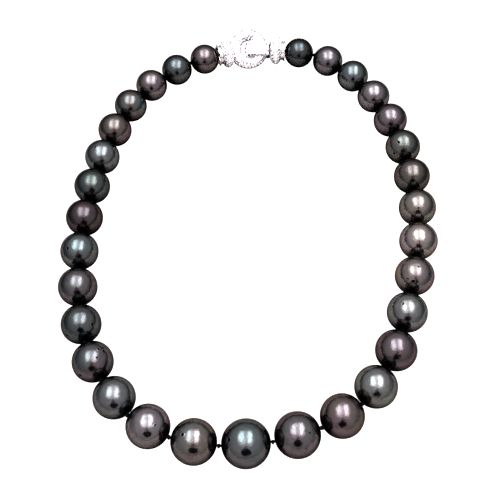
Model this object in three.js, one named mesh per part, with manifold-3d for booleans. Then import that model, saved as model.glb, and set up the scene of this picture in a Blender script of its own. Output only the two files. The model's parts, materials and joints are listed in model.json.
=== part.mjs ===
// A knotted strand of 31 graduated black pearls on silk, closed by a pave ring and a hinged hook,
// lying on a table. Millimetres, +Z up: the table is z = 0, the largest pearl is at the front (-Y),
// the clasp at the back (+Y), and the origin is under the middle of the necklace.
import * as THREE from "three";
import { mergeVertices } from "three/addons/utils/BufferGeometryUtils.js";
import Module from "manifold-3d";

const wasm = await Module();
wasm.setup();

// Strand
const PEARL_COUNT = 31;
const END_DIAMETER = 11.2; // the two pearls beside the clasp
const FLANK_DIAMETERS = { left: 12.6, right: 12.8 }; // the long even stretch on each side
const CENTRE_DIAMETER = 14.2; // the one pearl at the front
const END_GROWTH = 3; // how fast the pearls grow beside the clasp
const FRONT_GROWTH = 10; // how late they swell towards the front
const FRONT_SLACK = 0.6; // how much wider the gaps are at the front than beside the clasp
const DRILL_RADIUS = 0.55;
const THREAD_RADIUS = 0.3;
const KNOT_RADIUS = 0.8;
const KNOT_HALF_LENGTH = 0.5;

// Route of the thread over the table from the left cap round the front to the right cap, by hand,
// in the clasp ring's own plan coordinates: [x, y] from the ring's centre.
const ROUTE = [
  [-22.4, -7.8],
  [-40.6, -24.1],
  [-50.4, -48.3],
  [-54.8, -74.7],
  [-55.1, -101],
  [-50.2, -127],
  [-36, -149.6],
  [-23.8, -156.9],
  [-9.4, -159.8],
  [6, -158.9],
  [20.2, -155],
  [32.2, -148.2],
  [41.5, -137.8],
  [51.6, -111],
  [57.2, -84.5],
  [56.5, -56.8],
  [49.7, -30.6],
  [35.4, -9.6],
  [25.2, -3.4],
];

// Clasp: distances along each half's axis run from the ring's centre
const CLASP_HEIGHT = END_DIAMETER / 2;
const RING_RADIUS = 5.3; // to the middle of the ring's tube
const RING_TUBE = 2.35;
const RING_TURN = 4; // degrees, the line the ring leans about
const RING_LEAN = 35; // degrees, the ring's face leans to the front
const LEFT_AXIS = 197; // degrees in plan, towards the first pearl
const RIGHT_AXIS = -4; // degrees in plan, towards the last pearl
const LEFT_WIDEST = 9; // where the left bell cap is widest
const RIGHT_WIDEST = 11; // where the right bell cap is widest
const BELL_TO_KNOT = 2.9; // from a bell's widest section to the end knot
const HOOK_WIDTH = 5.2;
const HINGE_X = 7.55;
const HINGE_Z = 2.6;
const BARREL_RADIUS = 0.75;
const PIN_RADIUS = 0.3;
const ROD_SIDES = 16; // of the hinge's barrel and pin
const KNUCKLE_HALF_WIDTH = 1.2; // the tongue's middle knuckle
const RUNNING_GAP = 0.15; // between parts that turn on one another
const SOLDER_GAP = 0.15; // between parts that are soldered together

const UP = new THREE.Vector3(0, 0, 1);
const radians = THREE.MathUtils.degToRad;

// Solids

function solid(geometry) {
  const bare = geometry.clone().deleteAttribute("normal").deleteAttribute("uv");
  const merged = mergeVertices(bare.index ? bare.toNonIndexed() : bare, 1e-4);
  return new wasm.Manifold(
    new wasm.Mesh({
      numProp: 3,
      vertProperties: merged.attributes.position.array,
      triVerts: new Uint32Array(merged.index.array),
    }),
  );
}

function geometryOf(manifold) {
  const mesh = manifold.getMesh();
  const geometry = new THREE.BufferGeometry();
  geometry.setAttribute("position", new THREE.BufferAttribute(mesh.vertProperties, 3));
  geometry.setIndex(new THREE.BufferAttribute(mesh.triVerts, 1));
  const flat = geometry.toNonIndexed();
  flat.computeVertexNormals();
  return flat;
}

function joined(...geometries) {
  return geometryOf(geometries.map(solid).reduce((whole, piece) => whole.add(piece)));
}

function cut(body, ...tools) {
  return geometryOf(tools.map(solid).reduce((whole, tool) => whole.subtract(tool), solid(body)));
}

function shared(a, b) {
  return geometryOf(solid(a).intersect(solid(b)));
}

// A turned piece on the X axis; its profile lists [distance along X, radius].
function turned(profile, segments) {
  const points = profile.map(([along, radius]) => new THREE.Vector2(radius, along));
  return new THREE.LatheGeometry(points, segments, Math.PI / segments).rotateZ(-Math.PI / 2);
}

// A rod across the hook, along Y, from y = start to y = end.
function crossRod(radius, start, end, x, z) {
  const rod = new THREE.CylinderGeometry(radius, radius, end - start, ROD_SIDES);
  return rod.translate(x, (start + end) / 2, z);
}

// An outline in X and Z, given a width along Y about the middle.
function plateAcross(outline, width) {
  const shape = new THREE.Shape(outline.map(([x, z]) => new THREE.Vector2(x, z)));
  const plate = new THREE.ExtrudeGeometry(shape, { depth: width, bevelEnabled: false });
  return plate.translate(0, 0, -width / 2).rotateX(Math.PI / 2);
}

function block(x0, x1, y0, y1, z0, z1) {
  const box = new THREE.BoxGeometry(x1 - x0, y1 - y0, z1 - z0);
  return box.translate((x0 + x1) / 2, (y0 + y1) / 2, (z0 + z1) / 2);
}

function named(name, geometry, material) {
  const mesh = new THREE.Mesh(geometry, material);
  mesh.name = name;
  return mesh;
}

// Materials

const whiteGold = () =>
  new THREE.MeshStandardMaterial({ color: 0xe9e8e4, roughness: 0.18, metalness: 1 });
const pavedGold = () =>
  new THREE.MeshStandardMaterial({ color: 0xf4f5f6, roughness: 0.3, metalness: 0.8 });
const blackSilk = () =>
  new THREE.MeshStandardMaterial({ color: 0x14110f, roughness: 0.85, metalness: 0 });
const nacre = (color) => new THREE.MeshStandardMaterial({ color, roughness: 0.2, metalness: 0.25 });

const OVERTONES = {
  green: 0x4e5751,
  teal: 0x4a5a5c,
  aubergine: 0x54464c,
  silver: 0x7d8284,
  brown: 0x6a5d55,
  mauve: 0x75666b,
};
const PEARL_OVERTONES = [
  ...["aubergine", "green", "brown", "teal", "aubergine", "silver", "teal", "aubergine"],
  ...["silver", "mauve", "teal", "aubergine", "green", "brown", "brown", "teal", "brown"],
  ...["mauve", "silver", "aubergine", "silver", "mauve", "mauve", "silver", "brown"],
  ...["teal", "mauve", "mauve", "teal", "mauve", "green"],
];

// Strand: each pearl lies on the table with its drill hole level, and the thread bends at the knots

const FACETS_ROUND = 14;
const FACETS_ALONG = 9;

const MIDDLE = (PEARL_COUNT - 1) / 2;

// 0 beside the clasp, 1 at the front.
function toFront(index) {
  return 1 - Math.abs(index - MIDDLE) / MIDDLE;
}

// Pearls grow quickly beside the clasp, stay even along the sides and swell again at the front.
function pearlDiameter(index) {
  const flank = index < MIDDLE ? FLANK_DIAMETERS.left : FLANK_DIAMETERS.right;
  const growth = (flank - END_DIAMETER) * (1 - (1 - toFront(index)) ** END_GROWTH);
  return END_DIAMETER + growth + (CENTRE_DIAMETER - flank) * toFront(index) ** FRONT_GROWTH;
}

// A ball drilled along the X axis, which measures its diameter along the hole and across facets.
function drilledPearl(diameter) {
  const rim = Math.asin((2 * DRILL_RADIUS) / diameter);
  const facet = (Math.PI - 2 * rim) / FACETS_ALONG;
  const along = diameter / 2;
  const round = along / Math.cos(facet / 2) / Math.cos(Math.PI / FACETS_ROUND);
  const profile = [];
  for (let step = 0; step <= FACETS_ALONG; step += 1) {
    const angle = rim + facet * step;
    profile.push([-along * Math.cos(angle), round * Math.sin(angle)]);
  }
  profile.push(profile[0]);
  return turned(profile, FACETS_ROUND);
}

function planDirection(degrees) {
  return new THREE.Vector3(Math.cos(radians(degrees)), Math.sin(radians(degrees)), 0);
}

const leftAxis = planDirection(LEFT_AXIS);
const rightAxis = planDirection(RIGHT_AXIS);
const firstKnot = leftAxis.clone().multiplyScalar(LEFT_WIDEST + BELL_TO_KNOT);
const lastKnot = rightAxis.clone().multiplyScalar(RIGHT_WIDEST + BELL_TO_KNOT);

// The knots share out what the pearls leave of the route, so the strand just closes on the clasp.
function knotPlaces() {
  const stops = [firstKnot, ...ROUTE.map(([x, y]) => new THREE.Vector3(x, y, 0)), lastKnot];
  const route = new THREE.CatmullRomCurve3(stops);
  route.arcLengthDivisions = 2000;
  const length = route.getLength();
  const total = (measure) => {
    let sum = 0;
    for (let index = 0; index < PEARL_COUNT; index += 1) sum += measure(index);
    return sum;
  };
  const looseness = (index) => 1 + FRONT_SLACK * toFront(index);
  const slack = (length - total(pearlDiameter)) / total(looseness);
  const places = [firstKnot.clone()];
  let travelled = 0;
  for (let index = 0; index < PEARL_COUNT; index += 1) {
    travelled += pearlDiameter(index) + slack * looseness(index);
    places.push(route.getPointAt(Math.min(travelled / length, 1)));
  }
  places.forEach((place, index) => {
    const before = pearlDiameter(Math.max(index - 1, 0));
    const after = pearlDiameter(Math.min(index, PEARL_COUNT - 1));
    place.z = (before + after) / 4;
  });
  return places;
}

const knots = knotPlaces();

function pearl(index) {
  const diameter = pearlDiameter(index);
  const material = nacre(OVERTONES[PEARL_OVERTONES[index]]);
  const name = `pearl_${String(index + 1).padStart(2, "0")}`;
  const mesh = named(name, drilledPearl(diameter), material);
  const [start, end] = [knots[index], knots[index + 1]];
  mesh.position.addVectors(start, end).multiplyScalar(0.5).setZ(diameter / 2);
  mesh.rotation.z = Math.atan2(end.y - start.y, end.x - start.x);
  return mesh;
}

// A route that is straight from each point to the next, with one step for each stretch.
class StraightStretches extends THREE.Curve {
  constructor(points) {
    super();
    this.points = points;
  }
  getPoint(t, target = new THREE.Vector3()) {
    const along = t * (this.points.length - 1);
    const index = Math.min(Math.floor(along), this.points.length - 2);
    return target.lerpVectors(this.points[index], this.points[index + 1], along - index);
  }
  getPointAt(u, target) {
    return this.getPoint(u, target);
  }
  getTangentAt(u, target) {
    return this.getTangent(u, target);
  }
}

function roundSection(radius, sides) {
  return new THREE.Shape(
    Array.from({ length: sides }, (_, side) => {
      const angle = ((side + 0.5) * 2 * Math.PI) / sides;
      return new THREE.Vector2(radius * Math.cos(angle), radius * Math.sin(angle));
    }),
  );
}

const THREAD_LOOP = { radius: 0.95, at: -0.2 }; // round a cap's bar, measured from the bell's widest

// One silk thread with a knot between every two pearls and a loop round the bar in each cap.
function silkThread() {
  const leftBar = leftAxis.clone().multiplyScalar(LEFT_WIDEST + THREAD_LOOP.at);
  const rightBar = rightAxis.clone().multiplyScalar(RIGHT_WIDEST + THREAD_LOOP.at);
  leftBar.z = CLASP_HEIGHT;
  rightBar.z = CLASP_HEIGHT;
  const start = leftBar.clone().addScaledVector(leftAxis, THREAD_LOOP.radius);
  const end = rightBar.clone().addScaledVector(rightAxis, THREAD_LOOP.radius);
  const points = [start, ...knots, end];
  const pieces = [
    new THREE.ExtrudeGeometry(roundSection(THREAD_RADIUS, 8), {
      extrudePath: new StraightStretches(points),
      steps: points.length - 1,
      bevelEnabled: false,
    }),
  ];
  for (let index = 1; index < PEARL_COUNT; index += 1) {
    const [before, after] = [knots[index - 1], knots[index + 1]];
    const knot = turned(
      [
        [-KNOT_HALF_LENGTH, 0],
        [0, KNOT_RADIUS],
        [KNOT_HALF_LENGTH, 0],
      ],
      6,
    );
    knot.rotateZ(Math.atan2(after.y - before.y, after.x - before.x));
    knot.translate(knots[index].x, knots[index].y, knots[index].z);
    pieces.push(knot);
  }
  for (const bar of [leftBar, rightBar]) {
    const loop = new THREE.TorusGeometry(THREAD_LOOP.radius, THREAD_RADIUS, 8, 12);
    pieces.push(loop.translate(bar.x, bar.y, bar.z));
  }
  return named("silk_thread", joined(...pieces), blackSilk());
}

// Clasp: each half is built with +X along its own axis, away from the ring's centre

function frameGroup(xAxis, yAxis, zAxis) {
  const group = new THREE.Group();
  group.quaternion.setFromRotationMatrix(new THREE.Matrix4().makeBasis(xAxis, yAxis, zAxis));
  group.position.z = CLASP_HEIGHT;
  group.updateMatrixWorld(true);
  return group;
}

function ringGroup() {
  const xAxis = planDirection(RING_TURN);
  const yAxis = UP.clone().cross(xAxis).applyAxisAngle(xAxis, radians(RING_LEAN));
  return frameGroup(xAxis, yAxis, xAxis.clone().cross(yAxis));
}

// The hook's width lies along the ring's tube where the hook goes round it.
function hookGroup(ringNormal) {
  const yAxis = ringNormal.clone().cross(rightAxis).normalize();
  return frameGroup(rightAxis, yAxis, rightAxis.clone().cross(yAxis));
}

function leftGroup() {
  return frameGroup(leftAxis, UP.clone().cross(leftAxis), UP);
}

function ringTorus(extra) {
  return new THREE.TorusGeometry(RING_RADIUS, RING_TUBE + extra, 12, 32);
}

// Both caps: distances run along the axis from the bell's widest section, towards the pearl.
const CAP_FACETS = 24;
const BELL = {
  radius: 5.3,
  ringward: { swell: 2.85, angle: radians(-48) }, // how far the bulge swells, and where it stops
  pearlward: { swell: 2.5, angle: radians(44) },
  steps: 8,
  closedEnd: -2.1,
  socketFloor: -1.4,
  socketRadius: 2.9, // the hollow that hides the thread's end
};
const CUP_OUTLINE = [
  [1.9, 3.1],
  [1.9, 3.6],
  [2.6, 3.6],
  [3.3, 4.1],
  [3.4, 3.8],
  [2.7, 3.15],
  [1.9, 3.1],
];
const BAR_RADIUS = 0.45;
const BULLION = { inner: 0.45, outer: 0.7, start: 1.3, end: BELL_TO_KNOT - RUNNING_GAP };

// A thick bell with a socket that opens towards the pearl.
function bellCap(widest) {
  const profile = [[widest + BELL.closedEnd, 0]];
  const [start, end] = [BELL.ringward.angle, BELL.pearlward.angle];
  for (let step = 0; step <= BELL.steps; step += 1) {
    const angle = start + ((end - start) * step) / BELL.steps;
    const { swell } = angle < 0 ? BELL.ringward : BELL.pearlward;
    profile.push([widest + swell * Math.sin(angle), BELL.radius * Math.cos(angle)]);
  }
  profile.push([profile.at(-1)[0], BELL.socketRadius]);
  profile.push([widest + BELL.socketFloor, BELL.socketRadius]);
  profile.push([widest + BELL.socketFloor, 0]);
  return turned(profile, CAP_FACETS);
}

// A thin flared cup, soldered to the bell's mouth, that the end pearl sits against.
function capRim(widest) {
  const profile = CUP_OUTLINE.map(([along, radius]) => [widest + along, radius]);
  return turned(profile, CAP_FACETS);
}

function threadBar(widest) {
  const length = 2 * (BELL.socketRadius - SOLDER_GAP);
  const bar = new THREE.CylinderGeometry(BAR_RADIUS, BAR_RADIUS, length, CAP_FACETS / 2);
  return bar.rotateX(Math.PI / 2).translate(widest + THREAD_LOOP.at, 0, 0);
}

// A sleeve of coiled fine wire that keeps the thread's end from chafing.
function bullionCoil(widest) {
  const [start, end] = [widest + BULLION.start, widest + BULLION.end];
  const outline = [
    [start, BULLION.inner],
    [start, BULLION.outer],
    [end, BULLION.outer],
    [end, BULLION.inner],
    [start, BULLION.inner],
  ];
  return turned(outline, CAP_FACETS / 2);
}

function capParts(side, widest, bell) {
  return [
    named(`${side}_bell_cap`, bell, pavedGold()),
    named(`${side}_cap_rim`, capRim(widest), whiteGold()),
    named(`${side}_thread_bar`, threadBar(widest), whiteGold()),
    named(`${side}_bullion_coil`, bullionCoil(widest), whiteGold()),
  ];
}

// The hook's side view: the collar beside the right bell, and the leg that passes behind the ring.
const COLLAR = { back: 8.6, front: 7.95, top: 1.9 };
const HOOK_OUTLINE = [
  [COLLAR.back, COLLAR.top],
  [COLLAR.back, -3.6],
  [8, -4.2],
  [1.2, -4.2],
  [0.1, -3.6],
  [-0.5, -2.6],
  [-0.6, -1.4],
  [0.1, -1.4],
  [0.3, -2.6],
  [0.9, -3.2],
  [7.2, -3.35],
  [COLLAR.front, -2.6],
  [COLLAR.front, COLLAR.top],
];
// The tongue's side view: an arch over the ring's tube, which drops into the hole.
const TONGUE_OUTLINE = [
  [6.5, 3.3],
  [4.4, 3.8],
  [2.2, 3.7],
  [0.5, 3.1],
  [-0.7, 2],
  [-1.25, 0.6],
  [-1.25, -1],
  [-0.3, -1.1],
  [-0.1, 0.5],
  [0.4, 1.7],
  [1.3, 2.4],
  [3, 2.75],
  [5, 2.75],
  [6.5, 2.4],
];
const TONGUE_TIP = { centre: 1.3, length: 2.6 }; // half an ellipse, seen from the front
const TONGUE_WEB = { start: 6.2, underside: 2.5, thickness: 0.8 }; // from the strap to its knuckle
const OVERRUN = 1; // how far a cutting tool runs past what it cuts

// The collar, with two hinge knuckles on top, and the fixed leg.
function hookBody() {
  const half = HOOK_WIDTH / 2;
  const inner = KNUCKLE_HALF_WIDTH + RUNNING_GAP;
  const pieces = [plateAcross(HOOK_OUTLINE, HOOK_WIDTH)];
  for (const [start, end] of [
    [-half, -inner],
    [inner, half],
  ]) {
    pieces.push(crossRod(BARREL_RADIUS, start, end, HINGE_X, HINGE_Z));
    pieces.push(block(HINGE_X, COLLAR.back, start, end, COLLAR.top - SOLDER_GAP, HINGE_Z));
  }
  return cut(joined(...pieces), hingeBore());
}

function hingeBore() {
  const end = HOOK_WIDTH / 2 + OVERRUN;
  return crossRod(PIN_RADIUS + RUNNING_GAP, -end, end, HINGE_X, HINGE_Z);
}

// The hinged strap over the front of the ring, whose rounded tip drops into the ring's hole.
function tongueStrap() {
  const half = HOOK_WIDTH / 2;
  const plan = new THREE.Shape();
  plan.moveTo(COLLAR.front, -half);
  plan.lineTo(COLLAR.front, half);
  plan.lineTo(TONGUE_TIP.centre, half);
  plan.absellipse(TONGUE_TIP.centre, 0, TONGUE_TIP.length, half, Math.PI / 2, 1.5 * Math.PI, false);
  const depth = 2 * HOOK_WIDTH;
  const slab = new THREE.ExtrudeGeometry(plan, { depth, bevelEnabled: false, curveSegments: 6 });
  const strap = shared(plateAcross(TONGUE_OUTLINE, HOOK_WIDTH), slab.translate(0, 0, -depth / 2));
  const [start, end] = [-KNUCKLE_HALF_WIDTH, KNUCKLE_HALF_WIDTH];
  const knuckle = crossRod(BARREL_RADIUS, start, end, HINGE_X, HINGE_Z);
  const { start: webStart, underside, thickness } = TONGUE_WEB;
  const web = block(webStart, HINGE_X, start, end, underside, underside + thickness);
  return cut(joined(strap, knuckle, web), hingeBore());
}

function hingePin() {
  const half = HOOK_WIDTH / 2;
  return crossRod(PIN_RADIUS, -half, half, HINGE_X, HINGE_Z);
}

function clasp() {
  const group = new THREE.Group();
  const ring = ringGroup();
  const left = leftGroup();
  const ringNormal = new THREE.Vector3().setFromMatrixColumn(ring.matrixWorld, 2);
  const hook = hookGroup(ringNormal);
  ring.add(named("clasp_ring", ringTorus(0), pavedGold()));
  const ringInCap = left.matrixWorld.clone().invert().multiply(ring.matrixWorld);
  const saddle = cut(bellCap(LEFT_WIDEST), ringTorus(SOLDER_GAP).applyMatrix4(ringInCap));
  left.add(...capParts("left", LEFT_WIDEST, saddle));
  hook.add(...capParts("right", RIGHT_WIDEST, bellCap(RIGHT_WIDEST)));
  hook.add(named("hook_body", hookBody(), whiteGold()));
  hook.add(named("tongue", tongueStrap(), pavedGold()));
  hook.add(named("hinge_pin", hingePin(), whiteGold()));
  group.add(ring, left, hook);
  return group;
}

const necklace = new THREE.Group();
necklace.add(clasp());
for (let index = 0; index < PEARL_COUNT; index += 1) necklace.add(pearl(index));
necklace.add(silkThread());

// The origin goes under the middle of the whole necklace.
const bounds = new THREE.Box3().setFromObject(necklace, true);
const middle = bounds.getCenter(new THREE.Vector3());
necklace.position.set(-middle.x, -middle.y, 0);

export default necklace;
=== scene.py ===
"""A knotted strand of black pearls with a pave ring-and-hook clasp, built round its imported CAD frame.

Blender works in metres. Shapes are worked out in millimetres, in the frame of the part they belong to,
and turned into metres when a piece is made.
"""
import json
import math
import random

import bmesh
import bpy
from mathutils import Matrix, Vector, noise

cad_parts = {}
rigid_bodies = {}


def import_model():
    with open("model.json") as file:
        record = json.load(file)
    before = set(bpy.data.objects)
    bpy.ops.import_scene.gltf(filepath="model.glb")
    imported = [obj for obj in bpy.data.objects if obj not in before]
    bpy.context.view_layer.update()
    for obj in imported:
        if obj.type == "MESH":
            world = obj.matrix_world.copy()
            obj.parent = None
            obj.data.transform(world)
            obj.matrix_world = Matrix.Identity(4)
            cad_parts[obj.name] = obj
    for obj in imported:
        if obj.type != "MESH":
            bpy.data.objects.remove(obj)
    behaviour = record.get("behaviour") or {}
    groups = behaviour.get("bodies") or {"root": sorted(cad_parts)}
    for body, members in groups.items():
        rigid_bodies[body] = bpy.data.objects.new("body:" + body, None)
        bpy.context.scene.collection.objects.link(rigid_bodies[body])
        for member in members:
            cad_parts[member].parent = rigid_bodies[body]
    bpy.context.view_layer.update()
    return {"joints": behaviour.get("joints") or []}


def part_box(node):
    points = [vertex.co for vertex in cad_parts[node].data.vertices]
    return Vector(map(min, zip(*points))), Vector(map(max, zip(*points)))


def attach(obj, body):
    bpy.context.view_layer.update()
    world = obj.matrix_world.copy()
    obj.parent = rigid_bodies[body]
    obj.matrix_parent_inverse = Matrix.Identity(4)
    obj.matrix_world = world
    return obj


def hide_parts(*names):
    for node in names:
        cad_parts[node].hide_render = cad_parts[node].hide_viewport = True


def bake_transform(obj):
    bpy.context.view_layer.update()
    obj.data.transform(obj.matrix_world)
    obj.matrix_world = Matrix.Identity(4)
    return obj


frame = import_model()

MM = 0.001
UP = Vector((0, 0, 1))
JOINTS = {joint["name"]: joint for joint in frame["joints"]}


# -------------------- places, from the frame


def joint_place(name):
    return Vector(JOINTS[name]["pos_m"])


def even_turns(steps):
    """Evenly spaced turns round a circle, in radians."""
    return [math.tau * step / steps for step in range(steps)]


def level(vector):
    return Vector((vector.x, vector.y, 0)).normalized()


def axes(origin, x_axis, y_axis, z_axis):
    """The matrix from millimetres in a part's own axes to metres in the frame."""
    matrix = Matrix((x_axis, y_axis, z_axis)).transposed().to_4x4()
    matrix.translation = origin
    return matrix @ Matrix.Scale(MM, 4)


class Pearl:
    """One pearl of the strand: its body, centre and radius (mm), and the way the thread runs."""

    def __init__(self, number):
        self.number = number
        self.body = f"pearl_{number:02d}"
        low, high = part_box(self.body)
        self.centre = (low + high) / 2
        self.radius = (high.z - low.z) / 2 / MM


PEARLS = [Pearl(number) for number in range(1, 32)]
LAST_KNOT = len(PEARLS)
OPENED_KNOT = next(index for index in range(LAST_KNOT) if f"knot_{index:02d}" not in JOINTS)


def knot_place(index):
    """Knots are joints, and the one where the loop is opened mirrors its neighbour."""
    if index != OPENED_KNOT:
        return joint_place(f"knot_{index:02d}")
    pearl = PEARLS[index - 1]
    place = 2 * pearl.centre - joint_place(f"knot_{index - 1:02d}")
    place.z = (pearl.centre.z + PEARLS[index].centre.z) / 2
    return place


KNOTS = [knot_place(index) for index in range(LAST_KNOT + 1)]
for pearl in PEARLS:
    pearl.axis = level(KNOTS[pearl.number] - KNOTS[pearl.number - 1])

RING_CENTRE = joint_place("hook_swivel")
RING_NORMAL = Vector(JOINTS["hook_swivel"]["axis"]).normalized()
RING_X = UP.cross(RING_NORMAL).normalized()
RING = axes(RING_CENTRE, RING_X, RING_NORMAL.cross(RING_X), RING_NORMAL)
LEFT_X = level(KNOTS[0] - RING_CENTRE)
LEFT = axes(RING_CENTRE, LEFT_X, UP.cross(LEFT_X), UP)
RIGHT_X = level(KNOTS[-1] - RING_CENTRE)
HOOK_Y = RING_NORMAL.cross(RIGHT_X).normalized()
HOOK = axes(RING_CENTRE, RIGHT_X, HOOK_Y, RIGHT_X.cross(HOOK_Y))

# Clasp sizes, as in the CAD
RING_RADIUS = 5.3
RING_TUBE = 2.35
LEFT_WIDEST = 9.0
RIGHT_WIDEST = 11.0
BELL_RADIUS = 5.3
BELL_SWELL_BACK = 2.85
BELL_SWELL_FRONT = 2.5
BELL_FLAT_BACK = 2.1
SOCKET_RADIUS = 2.9
HOOK_WIDTH = 5.2
HINGE = (7.55, 2.6)
BARREL_RADIUS = 0.75
PIN_RADIUS = 0.3
KNUCKLE_HALF_WIDTH = 1.2
RUNNING_GAP = 0.15
DRILL_RADIUS = 0.55
THREAD_LOOP_RADIUS = 0.95
THREAD_LOOP_AT = -0.2


# -------------------- camera, light and table

CAMERA_LENS = 57.6
CAMERA_DISTANCE = 270 * MM
TARGET_RIGHT = 0.44 * MM
TARGET_FRONT = 89.8 * MM
CAMERA_TARGET = Vector((RING_CENTRE.x + TARGET_RIGHT, RING_CENTRE.y - TARGET_FRONT, 0))
CAMERA_ELEVATION = math.radians(57.6)
CAMERA_BACK = Vector((0, -math.cos(CAMERA_ELEVATION), math.sin(CAMERA_ELEVATION)))
CAMERA_PLACE = CAMERA_TARGET + CAMERA_DISTANCE * CAMERA_BACK

# Things the pearls reflect, in metres: the tent's shaded foot, the camera's stand and its arm
SKIRT_CENTRE_Y = -0.082
SKIRT_HALF_WIDTH = 0.118
SKIRT_HALF_DEPTH = 0.125
SKIRT_HEIGHT = 0.075
STAND_PLACE = (0.0, -0.4, 0.205)
STAND_HALF_WIDTH = 0.145
STAND_HALF_HEIGHT = 0.13
ARM_PLACE = (0.0, -0.4, 0.26)
ARM_OUTLINE = [(-0.1, 0), (0.1, 0), (0.04, 0.62), (-0.04, 0.62)]
TABLE_HALF_WIDTH = 3.0


def make_camera():
    data = bpy.data.cameras.new("camera")
    data.lens = CAMERA_LENS
    data.clip_start = 0.01
    camera = bpy.data.objects.new("camera", data)
    camera.location = CAMERA_PLACE
    camera.rotation_mode = "QUATERNION"
    camera.rotation_quaternion = (-CAMERA_BACK).to_track_quat("-Z", "Y")
    bpy.context.scene.collection.objects.link(camera)
    bpy.context.scene.camera = camera


def new_object(name, mesh):
    made = bpy.data.objects.new(name, mesh)
    bpy.context.scene.collection.objects.link(made)
    return made


def mesh_piece(name, points, faces):
    mesh = bpy.data.meshes.new(name)
    mesh.from_pydata(points, [], faces)
    return new_object(name, mesh)


def flat_piece(name, outline):
    return mesh_piece(name, [(x, y, 0) for x, y in outline], [range(len(outline))])


def only_reflected(piece, lights_table=False):
    """Hides a piece from the camera and from shadows; the pearls still reflect it."""
    piece.visible_camera = False
    piece.visible_shadow = False
    piece.visible_diffuse = lights_table


def clear_material(name, joint):
    """A clear shader joined to a glowing one: gives its nodes, and the place across the object, 0 to 1."""
    material = bpy.data.materials.new(name)
    material.use_nodes = True
    tree = material.node_tree
    tree.nodes.clear()
    where = tree.nodes.new("ShaderNodeTexCoord")
    split = tree.nodes.new("ShaderNodeSeparateXYZ")
    clear = tree.nodes.new("ShaderNodeBsdfTransparent")
    glow = tree.nodes.new("ShaderNodeEmission")
    both = tree.nodes.new(joint)
    output = tree.nodes.new("ShaderNodeOutputMaterial")
    tree.links.new(where.outputs["Generated"], split.inputs[0])
    tree.links.new(clear.outputs[0], both.inputs[-2])
    tree.links.new(glow.outputs[0], both.inputs[-1])
    tree.links.new(both.outputs[0], output.inputs[0])
    return material, tree, glow, both, split.outputs


def glow_panel(name, place, size, radiance, colour, soft):
    """A clear panel that glows, fading out towards its edges, which the pearls reflect."""
    half_x, half_y = size[0] / 2, size[1] / 2
    corners = [(-half_x, half_y), (half_x, half_y), (half_x, -half_y), (-half_x, -half_y)]
    panel = flat_piece(name, corners)
    panel.location = place
    material, tree, glow, _, along = clear_material(name, "ShaderNodeAddShader")
    strength = radiance
    for axis, fade in zip(("X", "Y"), soft):
        rising = spread(tree, along[axis], 0, fade, smooth=True)
        falling = spread(tree, along[axis], 1 - fade, 1, 1, 0, smooth=True)
        strength = product(tree, product(tree, rising, falling), strength)
    set_inputs(glow, {"Color": (*colour, 1)})
    tree.links.new(strength, glow.inputs["Strength"])
    panel.data.materials.append(material)
    only_reflected(panel, lights_table=True)


def make_lights():
    """Two long soft boxes side by side over the table, and a wide dim glow round them."""
    y, z = 0.13, 1.0
    glow_panel("soft_box_left", (-0.38, y, z), (0.74, 1.6), 8, (0.8, 0.95, 1.0), (0.5, 0.35))
    glow_panel("soft_box_right", (0.33, y, z), (0.66, 1.6), 9, (0.88, 0.92, 1.0), (0.45, 0.3))
    glow_panel("ceiling_glow", (-0.03, y, z + 0.01), (2.1, 2.3), 3.2, (1.0, 0.97, 0.98), (0.5, 0.5))


def make_world():
    """A pale studio, a little brighter overhead than along the horizon. The camera sees it white."""
    world = bpy.data.worlds.new("studio")
    bpy.context.scene.world = world
    world.use_nodes = True
    tree = world.node_tree
    tree.nodes.clear()
    direction = tree.nodes.new("ShaderNodeTexCoord")
    split = tree.nodes.new("ShaderNodeSeparateXYZ")
    ramp = tree.nodes.new("ShaderNodeValToRGB")
    ramp.color_ramp.interpolation = "EASE"
    stops = [
        (0.0, (0.42, 0.38, 0.36)),
        (0.12, (0.5, 0.49, 0.49)),
        (0.3, (0.57, 0.57, 0.585)),
        (0.55, (0.72, 0.68, 0.69)),
        (1.0, (0.7, 0.66, 0.68)),
    ]
    elements = ramp.color_ramp.elements
    while len(elements) < len(stops):
        elements.new(1.0)
    for element, (position, colour) in zip(elements, stops):
        element.position = position
        element.color = (*colour, 1)
    studio = tree.nodes.new("ShaderNodeBackground")
    set_inputs(studio, {"Strength": 2.1})
    plain = tree.nodes.new("ShaderNodeBackground")
    set_inputs(plain, {"Color": (1, 1, 1, 1)})
    tree.links.new(direction.outputs["Generated"], split.inputs[0])
    tree.links.new(split.outputs["Z"], ramp.inputs[0])
    tree.links.new(ramp.outputs["Color"], studio.inputs["Color"])
    camera_choice(tree, studio, plain, tree.nodes.new("ShaderNodeOutputWorld"))


def make_tent_skirt():
    """The tent's shaded foot, close round the sides and back, fading out upwards and to the front."""
    steps = 96
    points, faces = [], []
    for step, turn in enumerate(even_turns(steps)):
        x, y = SKIRT_HALF_WIDTH * math.cos(turn), SKIRT_CENTRE_Y + SKIRT_HALF_DEPTH * math.sin(turn)
        points += [(x, y, 0.0), (x, y, SKIRT_HEIGHT)]
        following = 2 * ((step + 1) % steps)
        faces.append((2 * step, following, following + 1, 2 * step + 1))
    skirt = mesh_piece("tent_skirt", points, faces)
    skirt.location = (RING_CENTRE.x, RING_CENTRE.y, 0)
    material, tree, shaded, both, along = clear_material("tent_skirt", "ShaderNodeMixShader")
    low = spread(tree, along["Z"], 0.0, 0.95, 1.0, 0.0, smooth=True)
    behind = spread(tree, along["Y"], 0.0, 0.45, smooth=True)
    tree.links.new(product(tree, low, behind), both.inputs[0])
    set_inputs(shaded, {"Color": (0.2, 0.3, 0.33, 1)})
    skirt.data.materials.append(material)
    only_reflected(skirt)


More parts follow.
